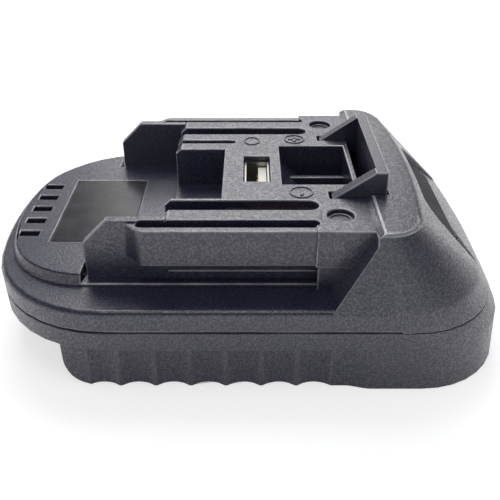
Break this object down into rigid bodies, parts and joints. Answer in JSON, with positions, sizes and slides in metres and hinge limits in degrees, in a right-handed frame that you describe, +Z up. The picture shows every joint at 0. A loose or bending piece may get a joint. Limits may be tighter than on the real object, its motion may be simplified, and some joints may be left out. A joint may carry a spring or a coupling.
{
  "type": "tool battery adapter",
  "caption": "Slide-on adapter between a cordless tool and another maker's pack: top rails, sprung latch hook, charging socket, channel underneath.",
  "frame": {"origin": "middle of the footprint on the bottom face", "axes": "+X along the slide towards the nose and its button, +Y to the left of the nose, +Z up"},
  "size_m": [0.116, 0.0764, 0.0412],
  "materials": {
    "black_plastic": "black moulded plastic with a fine spark-eroded grain",
    "label_film": "bare dark grey film",
    "latch_plastic": "black moulded plastic, finer grain",
    "button_plastic": "smooth black plastic",
    "spring_steel": "drawn wire",
    "board_laminate": "green solder mask",
    "plated_steel": "bright plated sheet",
    "white_plastic": "white moulded plastic",
    "contact_brass": "bright stamped sheet",
    "carrier_plastic": "black moulded plastic",
    "ferrite": "dark ferrite",
    "can_aluminium": "drawn can",
    "chip_epoxy": "black epoxy",
    "screw_steel": "dark zinc plating"
  },
  "bodies": {
    "housing": {"upper_housing": "black_plastic", "lower_housing": "black_plastic", "label_plate": "label_film", "latch_spring_left": "spring_steel", "latch_spring_right": "spring_steel", "circuit_board": "board_laminate", "usb_shell": "plated_steel", "usb_tongue": "white_plastic", "usb_contacts": "contact_brass", "positive_clip": "contact_brass", "negative_clip": "contact_brass", "blade_carrier": "carrier_plastic", "positive_blade": "contact_brass", "negative_blade": "contact_brass", "sense_blades": "contact_brass", "inductor": "ferrite", "capacitor": "can_aluminium", "regulator_chip": "chip_epoxy", "diode": "chip_epoxy", "pad_screws": "screw_steel", "screw_caps": "black_plastic", "rear_screws": "screw_steel", "board_screws": "screw_steel"},
    "latch": {"release_latch": "latch_plastic", "release_button": "button_plastic"}
  },
  "joints": [
    {"name": "latch_slide", "type": "slide", "parent": "housing", "child": "latch", "axis": [0, 0, -1], "range_m": [0, 0.006], "stiffness_N_per_m": 1500, "springref_m": -0.004, "deforming": ["latch_spring_left", "latch_spring_right"]}
  ]
}
